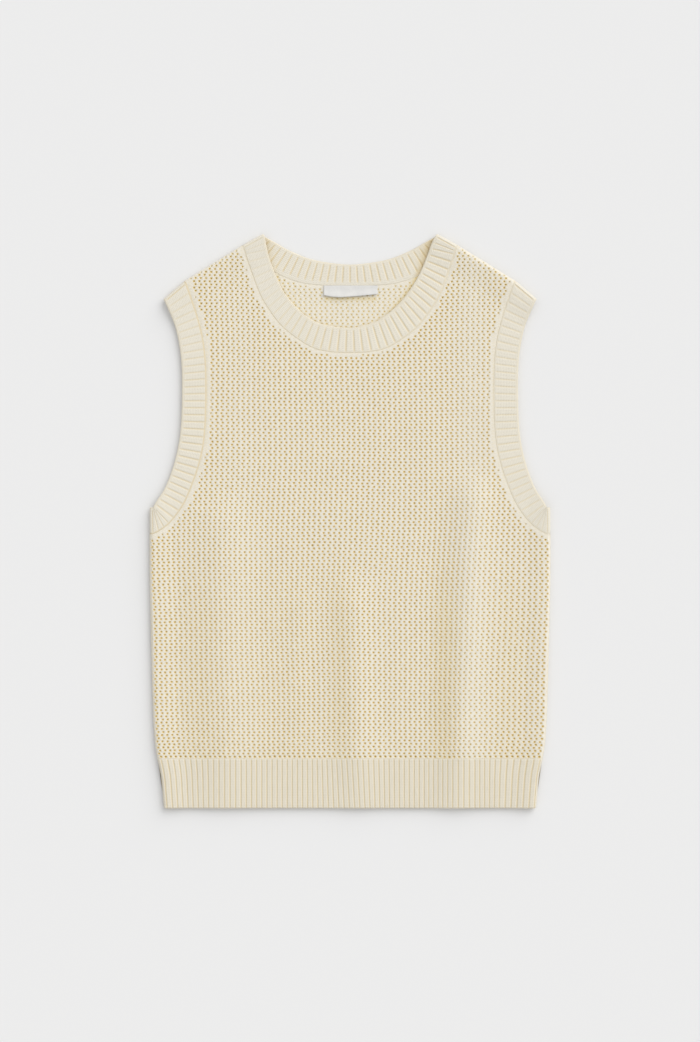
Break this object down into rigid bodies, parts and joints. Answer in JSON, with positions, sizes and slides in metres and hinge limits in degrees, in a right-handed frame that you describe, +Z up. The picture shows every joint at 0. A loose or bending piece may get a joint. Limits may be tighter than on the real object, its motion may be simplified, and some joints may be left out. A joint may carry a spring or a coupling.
{
  "type": "crochet top",
  "caption": "Sleeveless crew-neck top in cream open-mesh crochet-look knit with ribbed neckband, armbands and hem, laid flat with its front over its back.",
  "frame": {"origin": "centre of the underside's bounding box, on the surface that the top lies on", "axes": "+X to the wearer's left, +Y towards the neck, +Z up from the surface, out of the front"},
  "size_m": [0.4292, 0.6146, 0.0098],
  "materials": {
    "mesh_knit": "matt cream cotton yarn in an open mesh",
    "rib_knit": "matt cream cotton yarn in 2x1 rib",
    "woven_label": "white woven satin tape"
  },
  "bodies": {
    "root": {"front_panel": "mesh_knit", "back_panel": "mesh_knit", "hem_band_front": "rib_knit", "hem_band_back": "rib_knit", "neckband": "rib_knit", "armband_left": "rib_knit", "armband_right": "rib_knit", "neck_label": "woven_label"}
  },
  "joints": []
}
